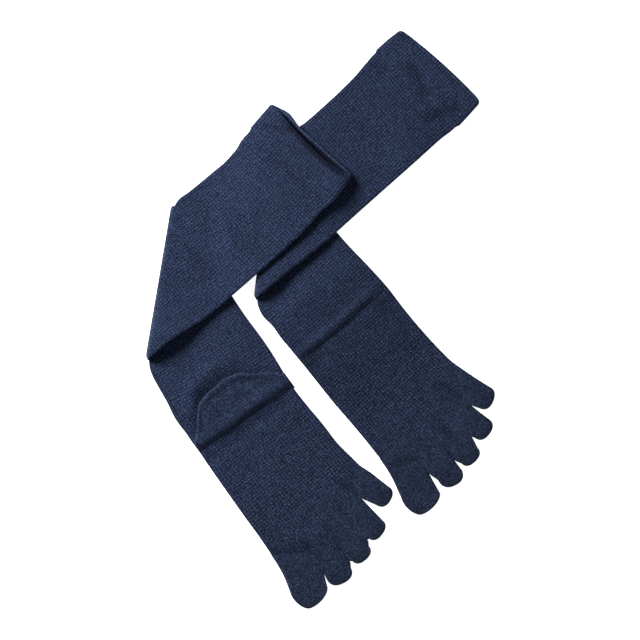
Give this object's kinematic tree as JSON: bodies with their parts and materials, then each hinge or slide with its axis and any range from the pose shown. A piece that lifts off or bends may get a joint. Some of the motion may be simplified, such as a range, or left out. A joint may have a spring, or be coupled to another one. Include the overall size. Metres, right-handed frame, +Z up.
{
  "type": "pair of toe socks",
  "caption": "Pair of knee-high toe socks in dark blue-grey tuck knit, laid flat and folded across the leg, one over the other, with separate toes and heel pockets",
  "frame": {"origin": "middle of the pair's outline, at the level of the surface it lies on", "axes": "+Z up from the surface, +Y from the toes towards the cuffs, +X towards the side of the left sock, which lies instep up beneath the right one"},
  "size_m": [0.3199, 0.5313, 0.0135],
  "materials": {
    "right_knit": "matte tuck knit, plain knit at heel and toes",
    "left_knit": "matte tuck knit, plain knit at heel and toes"
  },
  "bodies": {
    "root": {"right_sock": "right_knit", "left_sock": "left_knit"}
  },
  "joints": []
}
